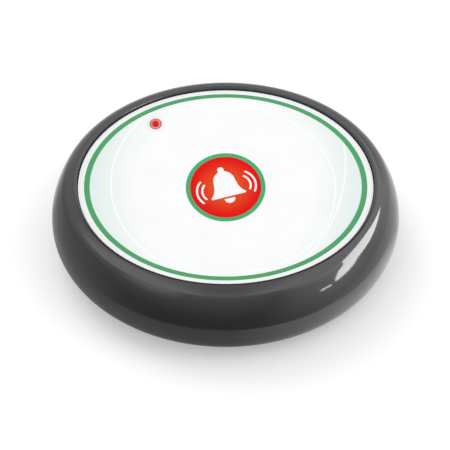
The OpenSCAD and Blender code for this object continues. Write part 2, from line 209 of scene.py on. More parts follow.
class FaceSettings(bpy.types.PropertyGroup):
    """Sizes and colours of the printed face"""

    ring_outer: length("Ring outer radius", "Outer radius of the green ring", 34.9)
    ring_inner: length("Ring inner radius", "Inner radius of the green ring", 33.53)
    ink_thickness: length("Ink thickness", "Thickness of one layer of ink", 0.02)
    print_stretch: stretch("Print stretch", "Height of the emblem and the curves over their width", 1.3)
    curve_width: length("Curve width", "Width of the thin white curves", 0.38)
    tint_start: length("Tint start", "Distance from the middle where the mint tint starts", 20.0)
    tint_end: length("Tint end", "Distance from the middle where the mint tint is full", 35.0)
    tint_stretch: stretch("Tint stretch", "Height of the untinted field over its width", 1.6)
    outer_tint: share("Outer tint", "Share of the mint tint outside the green ring", 0.3)
    sheet_colour: colour("Sheet", "Colour of the printed sheet", (0.945, 0.95, 0.948))
    mint_colour: colour("Mint", "Tint towards the ends of the sheet", (0.74, 0.845, 0.81))
    ring_colour: colour("Ring", "Colour of the green ring", (0.088, 0.376, 0.156))


class EmblemSettings(bpy.types.PropertyGroup):
    """Sizes and colours of the emblem, before it is stretched"""

    radius: length("Radius", "Half the width of the emblem with its border", 9.82)
    drop: length("Drop", "Distance of the emblem from the middle of the face, towards the user", 1.0)
    border_width: length("Border width", "Width of the green border", 1.06)
    orange_radius: length("Orange radius", "Radius where the orange middle starts to turn red", 2.455)
    red_radius: length("Red radius", "Radius where the emblem is all red", 8.838)
    bell_tilt: angle("Bell tilt", "Lean of the bell to the left", 16)
    bell_aside: length("Bell aside", "Distance of the bell's foot from the middle, to the right", 0.87)
    bell_drop: length("Bell drop", "Distance of the bell's foot from the middle, towards the user", 2.69)
    bell_half_width: length("Bell half width", "Half the width of the bell's lip", 4.4)
    bell_height: length("Bell height", "Height of the bell without its knob", 7.4)
    knob_radius: length("Knob radius", "Radius of the knob on the bell", 0.8)
    clapper_radius: length("Clapper radius", "Radius of the half disc below the bell", 1.34)
    clapper_gap: length("Clapper gap", "Gap between the bell and the half disc", 0.55)
    stroke_width: length("Stroke width", "Width of the arcs beside the bell", 0.5)
    stroke_aside: length("Stroke aside", "Distance of the arcs' centre from the bell's axis", 3.08)
    stroke_rise: length("Stroke rise", "Height of the arcs' centre above the bell's foot", 2.4)
    stroke_lift: angle("Stroke lift", "Angle by which the arcs point upwards", 7)
    inner_radius: length("Inner arc radius", "Radius of the arc next to the bell", 3.0)
    inner_span: angle("Inner arc span", "Half the angle of the arc next to the bell", 41)
    outer_radius: length("Outer arc radius", "Radius of the arc further out", 4.3)
    outer_span: angle("Outer arc span", "Half the angle of the arc further out", 44)
    border_colour: colour("Border", "Colour of the border", (0.070, 0.420, 0.170))
    red_colour: colour("Red", "Colour of the emblem's edge", (0.78, 0.002, 0.004))
    orange_colour: colour("Orange", "Colour of the emblem's middle", (0.80, 0.080, 0.013))
    fleck_colour: colour("Fleck", "Colour of the faint flecks in the red", (0.55, 0.02, 0.02))
    bell_colour: colour("Bell", "Colour of the bell sign", (0.96, 0.96, 0.96))


class LampSettings(bpy.types.PropertyGroup):
    """Sizes and colours of the lamp and of the painted glow and shade round it"""

    brim_height: length("Brim height", "Height of the brim at the foot of the lamp", 1.0)
    lens_radius: length("Lens radius", "Radius of the lens where it leaves the sheet", 1.2)
    lens_gap: length("Lens gap", "Gap between the lens and the sheet", 0.02)
    core_radius: length("Core radius", "Radius of the lit core", 0.86)
    core_rise: length("Core rise", "Height of the core above the sheet", 0.08)
    core_lean: angle("Core lean", "Angle by which the core leans towards the user", 49)
    core_glow: strength("Core glow", "Strength of the core's own light", 0.12)
    # The dark ring round the lamp is painted shade at the edge of the lamp and its hole
    ring_outer: length("Ring outer radius", "Outer radius of the ring printed round the lamp", 1.53)
    ring_inner: length("Ring inner radius", "Inner radius of the ring printed round the lamp", 1.28)
    ring_stretch: stretch("Ring stretch", "Height of the printed ring over its width", 1.36)
    # The red glow is the lamp's light painted on the sheet
    glow_radius: length("Glow radius", "Radius of the red glow on the sheet", 2.2)
    glow_share: share("Glow share", "Share of the red glow in the sheet's colour", 0.22)
    core_colour: colour("Core", "Colour of the lit core", (0.68, 0.005, 0.006))
    lens_colour: colour("Lens", "Colour of the lens round the core", (0.80, 0.32, 0.32))
    ring_colour: colour("Ring", "Colour of the printed ring", (0.24, 0.09, 0.10))
    glow_colour: colour("Glow", "Colour of the glow on the sheet", (0.86, 0.42, 0.42))


class StageSettings(bpy.types.PropertyGroup):
    """Camera and light of the studio"""

    camera_height: angle("Camera height", "Angle of the view above the table", 41.08)
    camera_distance: length("Camera distance", "Distance of the camera from the middle of the face", 800)
    focal_length: FloatProperty(
        name="Focal length", description="Focal length of the camera", default=259.6, min=10.0,
        unit="CAMERA")
    face_column: pixel("Face column", "Picture column of the middle of the face", 225.9)
    face_row: pixel("Face row", "Picture row of the middle of the face", 184.3)
    card_radius: length("Card radius", "Distance of the front card from the middle", 59)
    card_height: length("Card height", "Height of the front card", 37)
    table_inner: length("Table inner radius", "Inner radius of the card on the table", 35.4)
    table_lift: length("Table lift", "Height of the card on the table", 0.2)
    window_gap: length("Window gap", "Distance of the window in front of the front card", 2)
    sky_height: length("Sky height", "Height of the card above", 300)
    sky_radius: length("Sky radius", "Radius of the card above", 500)
    sky_glow: strength("Sky glow", "Least strength of the card above", 1.05)
    window_glow: strength("Window glow", "Strength of the bright window", 14.0)
    surround_light: strength("Surround light", "Strength of the white surroundings as a light", 0.77)
    floor_glow: share("Floor glow", "White added to the floor where it is seen", 0.33)
    floor_colour: colour("Floor", "Colour of the floor", (0.80, 0.80, 0.80))


def rgba(value):
    """A colour with full opacity."""
    return (*value, 1.0)


def shade(value, factor):
    """A colour made lighter or darker, with full opacity."""
    return rgba(min(1.0, part * factor) for part in value)


def link(obj):
    """Puts an object into the scene."""
    bpy.context.collection.objects.link(obj)
    return obj


def make_piece(name, bm, material):
    """Turns a bmesh into an object of the scene, with smooth faces and sharp edges."""
    bmesh.ops.recalc_face_normals(bm, faces=bm.faces)
    mesh = bpy.data.meshes.new(name)
    bm.to_mesh(mesh)
    bm.free()
    mesh.shade_smooth()
    mesh.set_sharp_from_angle(angle=SHARP_ANGLE)
    mesh.materials.append(material)
    return link(bpy.data.objects.new(name, mesh))


def arc(centre_x, centre_y, radius, start, end, steps):
    """Points along an arc, with its angles in degrees."""
    points = []
    for i in range(steps + 1):
        turn = math.radians(start + (end - start) * i / steps)
        points.append((centre_x + radius * math.cos(turn), centre_y + radius * math.sin(turn)))
    return points


def circle(centre_x, centre_y, radius, steps):
    """Points round a full circle."""
    return arc(centre_x, centre_y, radius, 0, 360, steps)[:-1]


def turned(points, turn, shift=(0.0, 0.0)):
    """Points turned about the middle by an angle in radians, and then moved."""
    cosine, sine = math.cos(turn), math.sin(turn)
    return [(shift[0] + x * cosine - y * sine, shift[1] + x * sine + y * cosine) for x, y in points]


def revolve(bm, section, steps=ROUND_STEPS, centre=(0.0, 0.0)):
    """Adds a closed section of (radius, height) points, turned once about an upright axis."""
    rings = []
    for x, y in circle(0.0, 0.0, 1.0, steps):
        rings.append([bm.verts.new((centre[0] + r * x, centre[1] + r * y, z)) for r, z in section])
    for here, there in zip(rings, rings[1:] + rings[:1]):
        for i in range(len(section)):
            after = (i + 1) % len(section)
            bm.faces.new((here[i], there[i], there[after], here[after]))
    bmesh.ops.remove_doubles(bm, verts=bm.verts, dist=MERGE_DISTANCE)
    return bm


def washer(inner, outer, low, high):
    """Closed section of a flat ring."""
    return [(inner, low), (outer, low), (outer, high), (inner, high)]


def slab(bm, outline, bottom, top):
    """Adds a flat prism over a closed outline of (x, y) points."""
    low = [bm.verts.new((x, y, bottom)) for x, y in outline]
    high = [bm.verts.new((x, y, top)) for x, y in outline]
    ends = [bm.faces.new(high), bm.faces.new(low[::-1])]
    for i in range(len(outline)):
        after = (i + 1) % len(outline)
        bm.faces.new((low[i], low[after], high[after], high[i]))
    bm.normal_update()
    if len(outline) > 4:
        bmesh.ops.triangulate(bm, faces=ends)
    return bm


class Nodes:
    """Wires the nodes of one tree."""

    def __init__(self, tree):
        self.tree = tree

    def node(self, kind, inputs=None, **fields):
        """A new node with its fields and inputs set."""
        made = self.tree.nodes.new(kind)
        for key, value in fields.items():
            setattr(made, key, value)
        for key, value in (inputs or {}).items():
            self.feed(made.inputs[key], value)
        return made

    def feed(self, socket, value):
        """Links another socket to an input, or sets a constant on it."""
        if isinstance(value, bpy.types.NodeSocket):
            self.tree.links.new(value, socket)
        else:
            socket.default_value = value

    def calculate(self, operation, *values):
        """The result of one operation on numbers."""
        return self.node("ShaderNodeMath", dict(enumerate(values)), operation=operation).outputs["Value"]

    def vector(self, operation, *values):
        """The outputs of one operation on vectors."""
        return self.node("ShaderNodeVectorMath", dict(enumerate(values)), operation=operation).outputs

    def product(self, first, *others):
        """All values multiplied."""
        for other in others:
            first = self.calculate("MULTIPLY", first, other)
        return first

    def largest(self, first, *others):
        """The largest of the values."""
        for other in others:
            first = self.calculate("MAXIMUM", first, other)
        return first

    def span(self, value, low, high, to_low, to_high):
        """A value carried from one range to another, and held at its ends."""
        return self.node("ShaderNodeMapRange", {
            "Value": value, "From Min": low, "From Max": high, "To Min": to_low, "To Max": to_high,
        }).outputs["Result"]

    def smooth_span(self, value, low, high):
        """A soft step from 0 to 1 between two values."""
        return self.node("ShaderNodeMapRange", {
            "Value": value, "From Min": low, "From Max": high,
        }, interpolation_type="SMOOTHSTEP").outputs["Result"]

    def rise(self, value, low_mm, high_mm):
        """A soft step from 0 to 1 between two lengths in millimetres."""
        return self.smooth_span(value, low_mm * MM, high_mm * MM)

    def slope(self, value, low_mm, high_mm, to_low, to_high):
        """A length between two lengths in millimetres, carried to another range."""
        return self.span(value, low_mm * MM, high_mm * MM, to_low, to_high)

    def inside(self, away, radius, softness):
        """1 within a radius and 0 beyond it, with a soft edge."""
        return self.smooth_span(away, radius + softness, radius - softness)

    def fade(self, value, factor):
        """The value where the factor is 0, and 1 where the factor is 1."""
        return self.span(factor, 0.0, 1.0, value, 1.0)

    def mix(self, factor, first, second):
        """The first colour where the factor is 0, and the second where it is 1."""
        made = self.node("ShaderNodeMix", data_type="RGBA")
        self.feed(made.inputs["Factor"], factor)
        self.feed(made.inputs[MIX_FIRST], first)
        self.feed(made.inputs[MIX_SECOND], second)
        return made.outputs[MIX_RESULT]

    def seen(self):
        """1 where a surface is seen, also in a mirror or through glass, and 0 where it only gives light."""
        path = self.node("ShaderNodeLightPath").outputs
        return self.largest(path["Is Camera Ray"], path["Is Glossy Ray"], path["Is Transmission Ray"])


class Shader(Nodes):
    """Wires the nodes of one material."""

    def __init__(self, name):
        self.material = bpy.data.materials.new(name)
        self.material.use_nodes = True
        super().__init__(self.material.node_tree)
        self.surface = self.tree.nodes["Principled BSDF"]

    def set(self, **inputs):
        """Feeds the inputs of the surface, with underscores for the spaces in their names."""
        for key, value in inputs.items():
            self.feed(self.surface.inputs[key.replace("_", " ")], value)

    def place(self):
        """The place on the object, in metres."""
        return self.node("ShaderNodeTexCoord").outputs["Object"]

    def axes(self):
        """The place on the object as X, Y and Z."""
        return self.node("ShaderNodeSeparateXYZ", {0: self.place()}).outputs

    def reach(self, x=0.0, y=0.0, tallness=1.0):
        """Distance from a point, measured level. A tallness above 1 makes circles taller."""
        moved = self.vector("SUBTRACT", self.place(), (x, y, 0.0))["Vector"]
        flat = self.vector("MULTIPLY", moved, (1.0, 1.0 / tallness, 0.0))["Vector"]
        return self.vector("LENGTH", flat)["Value"]

    def noise(self, scale, detail=3.0, place=None):
        """Soft noise over the object, or over another place."""
        place = self.place() if place is None else place
        inputs = {"Vector": place, "Scale": scale, "Detail": detail}
        return self.node("ShaderNodeTexNoise", inputs).outputs["Fac"]

    def wander(self, noise, low, high, spread=0.2):
        """Noise carried to a range. A smaller spread makes it reach the ends more often."""
        return self.span(noise, 0.5 - spread, 0.5 + spread, low, high)

    def uneven(self, low, high, scale, detail=3.0):
        """A value that wanders between two ends over the object."""
        return self.wander(self.noise(scale, detail), low, high)

    def mottle(self, value, low, high, scale, detail=3.0):
        """A colour that wanders between a darker and a lighter shade."""
        return self.mix(self.noise(scale, detail), shade(value, low), shade(value, high))

    def bump(self, height, amount, depth):
        """A fine relief of the surface."""
        made = self.node("ShaderNodeBump", {"Height": height, "Strength": amount, "Distance": depth})
        self.set(Normal=made.outputs["Normal"])


def moulded_plastic(name, value, roughness, grain, depth_mm=0.03):
    """Moulded plastic: faint mottle, uneven gloss and a fine grain."""
    shader = Shader(name)
    shader.set(Base_Color=shader.mottle(value, 0.88, 1.12, scale=60.0))
    shader.set(Roughness=shader.uneven(0.85 * roughness, 1.15 * roughness, scale=220.0, detail=4.0))
    shader.bump(shader.noise(grain, detail=2.0), amount=0.25, depth=depth_mm * MM)
    return shader.material


def plated_metal(name, value, roughness, grain):
    """Plated metal with fine drawn lines."""
    shader = Shader(name)
    drawn = shader.vector("MULTIPLY", shader.place(), DRAWN_LINES)["Vector"]
    lines = shader.noise(grain, detail=4.0, place=drawn)
    shader.set(Base_Color=shader.mix(lines, shade(value, 0.9), shade(value, 1.06)), Metallic=1.0)
    shader.set(Roughness=shader.wander(lines, 0.8 * roughness, 1.25 * roughness))
    shader.bump(lines, amount=0.1, depth=0.02 * MM)
    return shader.material


def soft_rubber(name, value):
    """Matt rubber with a fine pore."""
    shader = Shader(name)
    shader.set(Base_Color=shader.mottle(value, 0.8, 1.2, scale=180.0))
    shader.set(Roughness=shader.uneven(0.7, 0.9, scale=500.0))
    shader.bump(shader.noise(2600.0, detail=2.0), amount=0.4, depth=0.03 * MM)
    return shader.material


def solder_mask(name, value):
    """Board lacquer over copper tracks, which show as a faint relief."""
    shader = Shader(name)
    tracks = shader.node("ShaderNodeTexBrick", {
        "Vector": shader.place(), "Scale": 300.0, "Color1": WHITE, "Color2": shade(WHITE[:3], 0.7),
        "Mortar": BLACK, "Mortar Size": 0.03}).outputs["Fac"]
    shader.set(Base_Color=shader.mix(tracks, shade(value, 1.2), shade(value, 0.8)), Roughness=0.35)
    shader.bump(tracks, amount=0.3, depth=0.03 * MM)
    return shader.material


def housing_gloss(housing):
    """Glossy plastic with painted shade round the opening: a dark, dull line for the shade in the gap at
    the lip, strongest towards the user.
    """
    shader = Shader("housing_gloss")
    # Painted shade: a dark, dull line round the opening for the shade in the gap, stronger towards the user
    gap_shade_r = HOUSING_HIGH[0] - housing.rim_width + housing.gap_shade_width
    near = shader.rise(shader.axes()["Y"], 2, -25)
    gap_shade = shader.product(shader.inside(shader.reach(), gap_shade_r, GAP_SHADE_SOFTNESS), near)
    plastic = shader.mottle(housing.shell_colour, 0.92, 1.08, scale=45.0)
    shader.set(Base_Color=shader.mix(gap_shade, plastic, rgba(housing.gap_shade_colour)))
    shader.set(Specular_IOR_Level=shader.span(gap_shade, 0.0, 1.0, 0.5, 0.1))
    shader.set(Roughness=shader.uneven(0.08, 0.12, scale=160.0, detail=4.0))
    shader.bump(shader.noise(900.0, detail=2.0), amount=0.04, depth=0.02 * MM)
    return shader.material


def mint_tint(shader, look, face):
    """The sheet's colour with the mint tint towards its ends, which is weaker outside the ring."""
    ends = shader.smooth_span(shader.reach(tallness=face.tint_stretch), face.tint_start, face.tint_end)
    within = shader.smooth_span(shader.reach(), face.ring_outer, face.ring_inner)
    tint = shader.product(ends, shader.fade(face.outer_tint, within))
    return shader.mix(tint, look, rgba(face.mint_colour))


def white_curves(shader, look, face):
    """The sheet's colour with the thin white curves."""
    for x, y, radius, side in WHITE_CURVES:
        away = shader.reach(x * MM, y * MM, face.print_stretch)
        beside = shader.calculate("ABSOLUTE", shader.calculate("SUBTRACT", away, radius * MM))
        curve = shader.inside(beside, face.curve_width / 2, PRINT_SOFTNESS)
        shown = shader.smooth_span(shader.axes()["X"], 0.0, side * CURVE_FADE)
        look = shader.mix(shader.product(curve, shown), look, shade(face.sheet_colour, 1.03))
    return look


def lamp_glow_and_shade(shader, look, lamp):
    """The sheet's colour with the lamp's red glow painted on it, and a dark ring of painted shade at the
    edge of the lamp and its hole.
    """
    away = shader.reach(LAMP_X, LAMP_Y, lamp.ring_stretch)
    glow = shader.inside(away, lamp.glow_radius, GLOW_SOFTNESS)
    look = shader.mix(shader.product(glow, lamp.glow_share), look, rgba(lamp.glow_colour))
    # Painted shade: a dark ring at the edge of the lamp and its hole, with the lens's colour inside it
    look = shader.mix(shader.inside(away, lamp.ring_outer, PRINT_SOFTNESS), look, rgba(lamp.ring_colour))
    return shader.mix(shader.inside(away, lamp.ring_inner, PRINT_SOFTNESS), look, rgba(lamp.lens_colour))


def printed_sheet(face, lamp):
    """White sheet with a mint tint, thin white curves, and painted glow and shade round the lamp."""
    shader = Shader("printed_sheet")
    fleck = shader.wander(shader.noise(140.0, detail=4.0), 0.0, 1.0, spread=0.15)
    look = shader.mix(fleck, shade(face.sheet_colour, 0.985), shade(face.sheet_colour, 1.01))
    look = mint_tint(shader, look, face)
    look = white_curves(shader, look, face)
    shader.set(Base_Color=lamp_glow_and_shade(shader, look, lamp))
    shader.set(Roughness=shader.uneven(0.3, 0.4, scale=320.0), Specular_IOR_Level=0.35)
    shader.bump(shader.noise(1500.0, detail=2.0), amount=0.08, depth=0.01 * MM)
    return shader.material


def matt_ink(shader, look):
    """Gives a material the low gloss of dry ink."""
    shader.set(Base_Color=look, Specular_IOR_Level=0.03)
    shader.set(Roughness=shader.uneven(0.36, 0.46, scale=420.0))
    return shader.material


def plain_ink(name, value):
    """Printed ink of one colour, with a slight unevenness."""
    shader = Shader(name)
    return matt_ink(shader, shader.mottle(value, 0.93, 1.07, scale=300.0, detail=4.0))


def emblem_ink(emblem, print_stretch):
    """Red ink that turns to orange in the middle, with faint flecks."""
    shader = Shader("emblem_ink")
    away = shader.reach(0.0, -emblem.drop, print_stretch)
    out = shader.smooth_span(away, emblem.orange_radius, emblem.red_radius)
    blend = shader.mix(out, rgba(emblem.orange_colour), rgba(emblem.red_colour))
    flecks = shader.uneven(0.0, 0.12, scale=260.0, detail=4.0)
    return matt_ink(shader, shader.mix(flecks, blend, rgba(emblem.fleck_colour)))


def lamp_lens(lamp):
    """Lit lamp: a red core under a paler lens."""
    shader = Shader("lamp_lens")
    core = (LAMP_X, LAMP_Y, SHEET_HIGH[2] + lamp.core_rise)
    moved = shader.vector("SUBTRACT", shader.place(), core)["Vector"]
    leaning = shader.node("ShaderNodeVectorRotate", {"Vector": moved, "Angle": -lamp.core_lean},
                          rotation_type="X_AXIS").outputs["Vector"]
    flat = shader.vector("MULTIPLY", leaning, (1.0, 1.0, 0.0))["Vector"]
    away = shader.vector("LENGTH", flat)["Value"]
    edge_start, edge_end = (part * lamp.core_radius for part in CORE_EDGE)
    out = shader.smooth_span(away, edge_start, edge_end)
    shader.set(Base_Color=shader.mix(out, rgba(lamp.core_colour), rgba(lamp.lens_colour)))
    glow = shader.mix(out, rgba(lamp.core_colour), BLACK)
    shader.set(Emission_Color=glow, Emission_Strength=lamp.core_glow)
    shader.set(Roughness=shader.uneven(0.12, 0.2, scale=700.0), Specular_IOR_Level=0.1)
    return shader.material


def floor_white(stage):
    """White floor that keeps shadows and is a little brighter where it is seen."""
    shader = Shader("floor_white")
    shader.set(Base_Color=shader.mottle(stage.floor_colour, 0.995, 1.0, scale=2.0))
    shader.set(Roughness=0.9, Specular_IOR_Level=0.0, Emission_Color=WHITE)
    shader.set(Emission_Strength=shader.product(shader.seen(), stage.floor_glow))
    return shader.material


def white_light(shader, glow):
    """Turns a material into plain white light of some strength."""
    shader.set(Base_Color=BLACK, Specular_IOR_Level=0.0)
    shader.set(Emission_Color=WHITE, Emission_Strength=glow)
    return shader.material


def front_light():
    """Light of the front card: dark low down, brighter at its top, sides and far left, and white behind."""
    shader = Shader("front_card")
    x, y, z = shader.axes()
    top = shader.rise(z, 5, 36)
    left_front = shader.product(shader.rise(z, 15, 28), shader.rise(y, -25, -50))
    left = shader.product(left_front, shader.slope(x, -8, -26, 0.0, 1.7))
    right_side = shader.product(shader.rise(x, 6, 50), shader.slope(z, 4, 34, 0.6, 2.0))
    right = shader.product(right_side, shader.span(shader.rise(y, -15, -38), 0.0, 1.0, 1.0, 1.4))
    far_left = shader.product(shader.rise(y, -58, -20), shader.slope(x, 5, 0, 0.0, 0.5))
    glow = shader.largest(top, left, right, far_left)
    return white_light(shader, shader.fade(glow, shader.rise(y, 14, 39)))


def table_light():
    """Light of the card on the table: brighter to the right and outwards, and white behind."""
    shader = Shader("table_card")
    x, y, _ = shader.axes()
    outwards = shader.slope(shader.reach(), 40, 49, 0.45, 1.0)
    glow = shader.product(shader.slope(x, 2, 40, 0.5, 1.8), outwards)
    behind_right = shader.product(shader.rise(y, -14, 6), shader.rise(x, 20, 40))
    behind = shader.largest(shader.rise(y, 12, 30), behind_right)
    return white_light(shader, shader.fade(glow, behind))


def sky_light(stage):
    """Light of the card above: plain overhead and brighter towards its sides."""
    shader = Shader("sky_card")
    x, y, _ = shader.axes()
    left = shader.product(shader.slope(x, -20, -120, 0.0, 1.2), shader.rise(y, 260, 60))
    right = shader.slope(x, 20, 120, 0.0, 1.1)
    back = shader.product(shader.slope(y, 150, 340, 0.0, 0.7), shader.slope(x, -100, -10, 0.0, 1.0))
    ahead = shader.slope(y, -60, -300, 0.0, 0.5)
    sides = shader.largest(left, right, back, ahead)
    return white_light(shader, shader.calculate("ADD", sides, stage.sky_glow))


def window_light(stage):
    """Light of the bright window at the right."""
    return white_light(Shader("window_card"), stage.window_glow)


class RimSection:
    """Radii, heights and angles of the rim, worked out from the frame and the housing's settings."""

    def __init__(self, size):
        self.size = size
        self.outer_r = HOUSING_HIGH[0]
        self.top_z = HOUSING_HIGH[2]
        self.parting_z = HOUSING_LOW[2]
        self.opening_r = self.outer_r - size.rim_width
        self.crest_r = self.opening_r + size.lip_radius
        self.collar_z = self.top_z - size.collar_depth
        run = size.side_radius - (self.outer_r - self.crest_r)
        rise = math.sqrt((size.side_radius - size.crown_radius) ** 2 - run ** 2)
        self.crest_turn = math.degrees(math.atan2(rise, run))
        self.widest_z = self.top_z - size.crown_radius - rise
        parting_r = self.belly(self.parting_z, self.widest_z, steps=1)[0][0]
        self.skirt_r = parting_r - size.skirt_width

    def belly_turn(self, z):
        """Angle on the belly's arc at a height, in degrees."""
        return math.degrees(math.asin((z - self.widest_z) / self.size.belly_radius))

    def belly(self, start_z, end_z, steps, inset=0.0):
        """Points along the belly between two heights, or along a line inside it."""
        radius = self.size.belly_radius
        return arc(self.outer_r - radius, self.widest_z, radius - inset,
                   self.belly_turn(start_z), self.belly_turn(end_z), steps)

    def upper_half(self):
        """Closed section of the upper housing, from the collar down and round to the lip."""
        size = self.size
        inner = [(self.opening_r, self.collar_z), (self.skirt_r - size.inner_draft, self.collar_z),
                 (self.skirt_r, self.parting_z)]
        belly = self.belly(self.parting_z, self.widest_z, steps=20)
        side_r = self.outer_r - size.side_radius
        side = arc(side_r, self.widest_z, size.side_radius, 0, self.crest_turn, steps=14)
        crown_z = self.top_z - size.crown_radius
        crown = arc(self.crest_r, crown_z, size.crown_radius, self.crest_turn, 90, steps=16)
        lip = arc(self.crest_r, self.top_z - size.lip_radius, size.lip_radius, 90, 180, steps=8)
        return inner + belly + side[1:] + crown[1:] + lip[1:]

    def base_band(self):
        """Closed section of the thin band that lies over the side of the base."""
        base_z = BASE_LOW[2]
        outside = self.belly(base_z, self.parting_z, steps=10)
        inside = self.belly(self.parting_z, base_z, steps=10, inset=self.size.band_thickness)
        return outside + [(r, min(max(z, base_z), self.parting_z)) for r, z in inside]


def bar_outline(near, far, width, turn):
    """Outline of a bar from one radius to another, turned about the middle by degrees."""
    half = width / 2
    return turned([(near, -half), (far, -half), (far, half), (near, half)], math.radians(turn))


def bell_outline(emblem):
    """One closed outline of the bell with its knob, upright, with its foot on the X axis."""
    half, tall, knob_r = emblem.bell_half_width, emblem.bell_height, emblem.knob_radius
    side = [(half * BELL_FOOT, 0.0)]
    for i in range(BELL_STEPS + 1):
        up = i / BELL_STEPS
        width = BELL_WAIST + BELL_TAPER * (1 - up) + BELL_FLARE * math.exp(-FLARE_DECAY * up)
        over = max(0.0, (up - BELL_SHOULDER) / (1 - BELL_SHOULDER))
        dome = math.sqrt(max(0.0, 1 - over ** 2))
        side.append((half * width * dome, tall * (BELL_LIP + (1 - BELL_LIP) * up)))
    right = [(x, y) for x, y in side if x > KNOB_NECK * knob_r]
    left = [(-x, y) for x, y in reversed(right)]
    knob = arc(0.0, tall + KNOB_RISE * knob_r, knob_r, -30, 210, steps=16)
    return right + knob + left


def stroke_outline(hub_x, hub_y, radius, width, middle, half_span):
    """A round-ended arc stroke as one closed outline, with its angles in degrees."""
    half = width / 2
    first, last = middle - half_span, middle + half_span
    first_end, last_end = arc(hub_x, hub_y, radius, first, last, steps=1)
    outer = arc(hub_x, hub_y, radius + half, first, last, steps=20)
    last_cap = arc(*last_end, half, last, last + 180, steps=8)
    inner = arc(hub_x, hub_y, radius - half, last, first, steps=20)
    first_cap = arc(*first_end, half, first + 180, first + 360, steps=8)
    return outer + last_cap[1:-1] + inner + first_cap[1:-1]


def ringing_bell(emblem):
    """Outlines of the bell, its clapper and the two arcs on each side, leaning to the left."""
    clapper = arc(0.0, -emblem.clapper_gap, emblem.clapper_radius, 180, 360, steps=16)
    outlines = [bell_outline(emblem), clapper]
    strokes = ((emblem.inner_radius, emblem.inner_span), (emblem.outer_radius, emblem.outer_span))
    lift = math.degrees(emblem.stroke_lift)
    for side, middle in ((1, lift), (-1, 180 - lift)):
        for radius, span in strokes:
            outlines.append(stroke_outline(side * emblem.stroke_aside, emblem.stroke_rise, radius,
                                           emblem.stroke_width, middle, math.degrees(span)))
    foot = (emblem.bell_aside, -emblem.bell_drop)
    return [turned(outline, emblem.bell_tilt, foot) for outline in outlines]


class DressOperator:
    """Shared base of the operators that make pieces."""

    bl_options = {"REGISTER", "UNDO"}


class CALL_OT_housing(DressOperator, bpy.types.Operator):
    """Make the smooth glossy housing and the band of the base"""

    bl_idname = "call_button.housing"
    bl_label = "Housing"

    def execute(self, context):
        size = context.scene.call_housing
        rim = RimSection(size)
        self.shell(size, rim)
        self.bosses(size, rim)
        self.band(size, rim)
        return {"FINISHED"}

    def shell(self, size, rim):
        """The glossy shell in one smooth turn."""
        shell = make_piece("housing_shell", revolve(bmesh.new(), rim.upper_half()), housing_gloss(size))
        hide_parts("upper_housing")
        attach(shell, "housing")

    def bosses(self, size, rim):
        """The screw bosses with their webs, and the ribs, inside the shell."""
        bm = bmesh.new()
        boss_at = rim.outer_r - size.boss_inset
        bottom, top = size.boss_bottom, size.boss_top
        hole = [(0.0, size.hole_top), (size.hole_radius, size.hole_top), (size.hole_radius, bottom)]
        boss = hole + [(size.boss_radius, bottom), (size.boss_radius, top), (0.0, top)]
        for turn in BOSS_TURNS:
            centre = turned([(boss_at, 0.0)], math.radians(turn))[0]
            revolve(bm, boss, HOLE_STEPS, centre)
            web = bar_outline(boss_at + size.hole_radius, rim.skirt_r, size.boss_radius, turn)
            slab(bm, web, bottom, top)
        for turn in RIB_TURNS:
            rib = bar_outline(rim.opening_r, rim.skirt_r, size.rib_width, turn)
            slab(bm, rib, size.rib_bottom, rim.collar_z)
        satin = moulded_plastic("housing_inside", size.base_colour, roughness=0.4, grain=1400.0)
        bosses = make_piece("housing_bosses", bm, satin)
        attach(bosses, "housing")

    def band(self, size, rim):
        """The smooth band over the side of the base."""
        satin = moulded_plastic("base_band_satin", size.base_colour, roughness=0.3, grain=1400.0)
        band = make_piece("base_band", revolve(bmesh.new(), rim.base_band()), satin)
        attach(band, "housing")


class CALL_OT_face(DressOperator, bpy.types.Operator):
    """Make the printed sheet and its green ring"""

    bl_idname = "call_button.face"
    bl_label = "Face"

    def execute(self, context):
        self.sheet(context.scene.call_face, context.scene.call_lamp)
        self.ring(context.scene.call_face)
        return {"FINISHED"}

    def sheet(self, face, lamp):
        """The round sheet with a hole for the lamp."""
        bm = bmesh.new()
        rim = circle(0.0, 0.0, SHEET_RADIUS, ROUND_STEPS)
        hole = circle(LAMP_X, LAMP_Y, lamp.lens_radius + lamp.lens_gap, HOLE_STEPS)
        edges = []
        for outline in (rim, hole):
            loop = [bm.verts.new((x, y, SHEET_HIGH[2])) for x, y in outline]
            edges += [bm.edges.new(pair) for pair in zip(loop, loop[1:] + loop[:1])]
        bmesh.ops.triangle_fill(bm, edges=edges, use_beauty=True)
        lowered = bmesh.ops.extrude_face_region(bm, geom=list(bm.faces))["geom"]
        for item in lowered:
            if isinstance(item, bmesh.types.BMVert):
                item.co.z = SHEET_LOW[2]
        sheet = make_piece("face_sheet", bm, printed_sheet(face, lamp))
        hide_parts("face_label")
        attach(sheet, "key")

    def ring(self, face):
        """The green ring, one layer of ink on the sheet."""
        low = SHEET_HIGH[2]
        section = washer(face.ring_inner, face.ring_outer, low, low + face.ink_thickness)
        green = plain_ink("ring_ink", face.ring_colour)
        ring = make_piece("ring_print", revolve(bmesh.new(), section), green)
        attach(ring, "key")


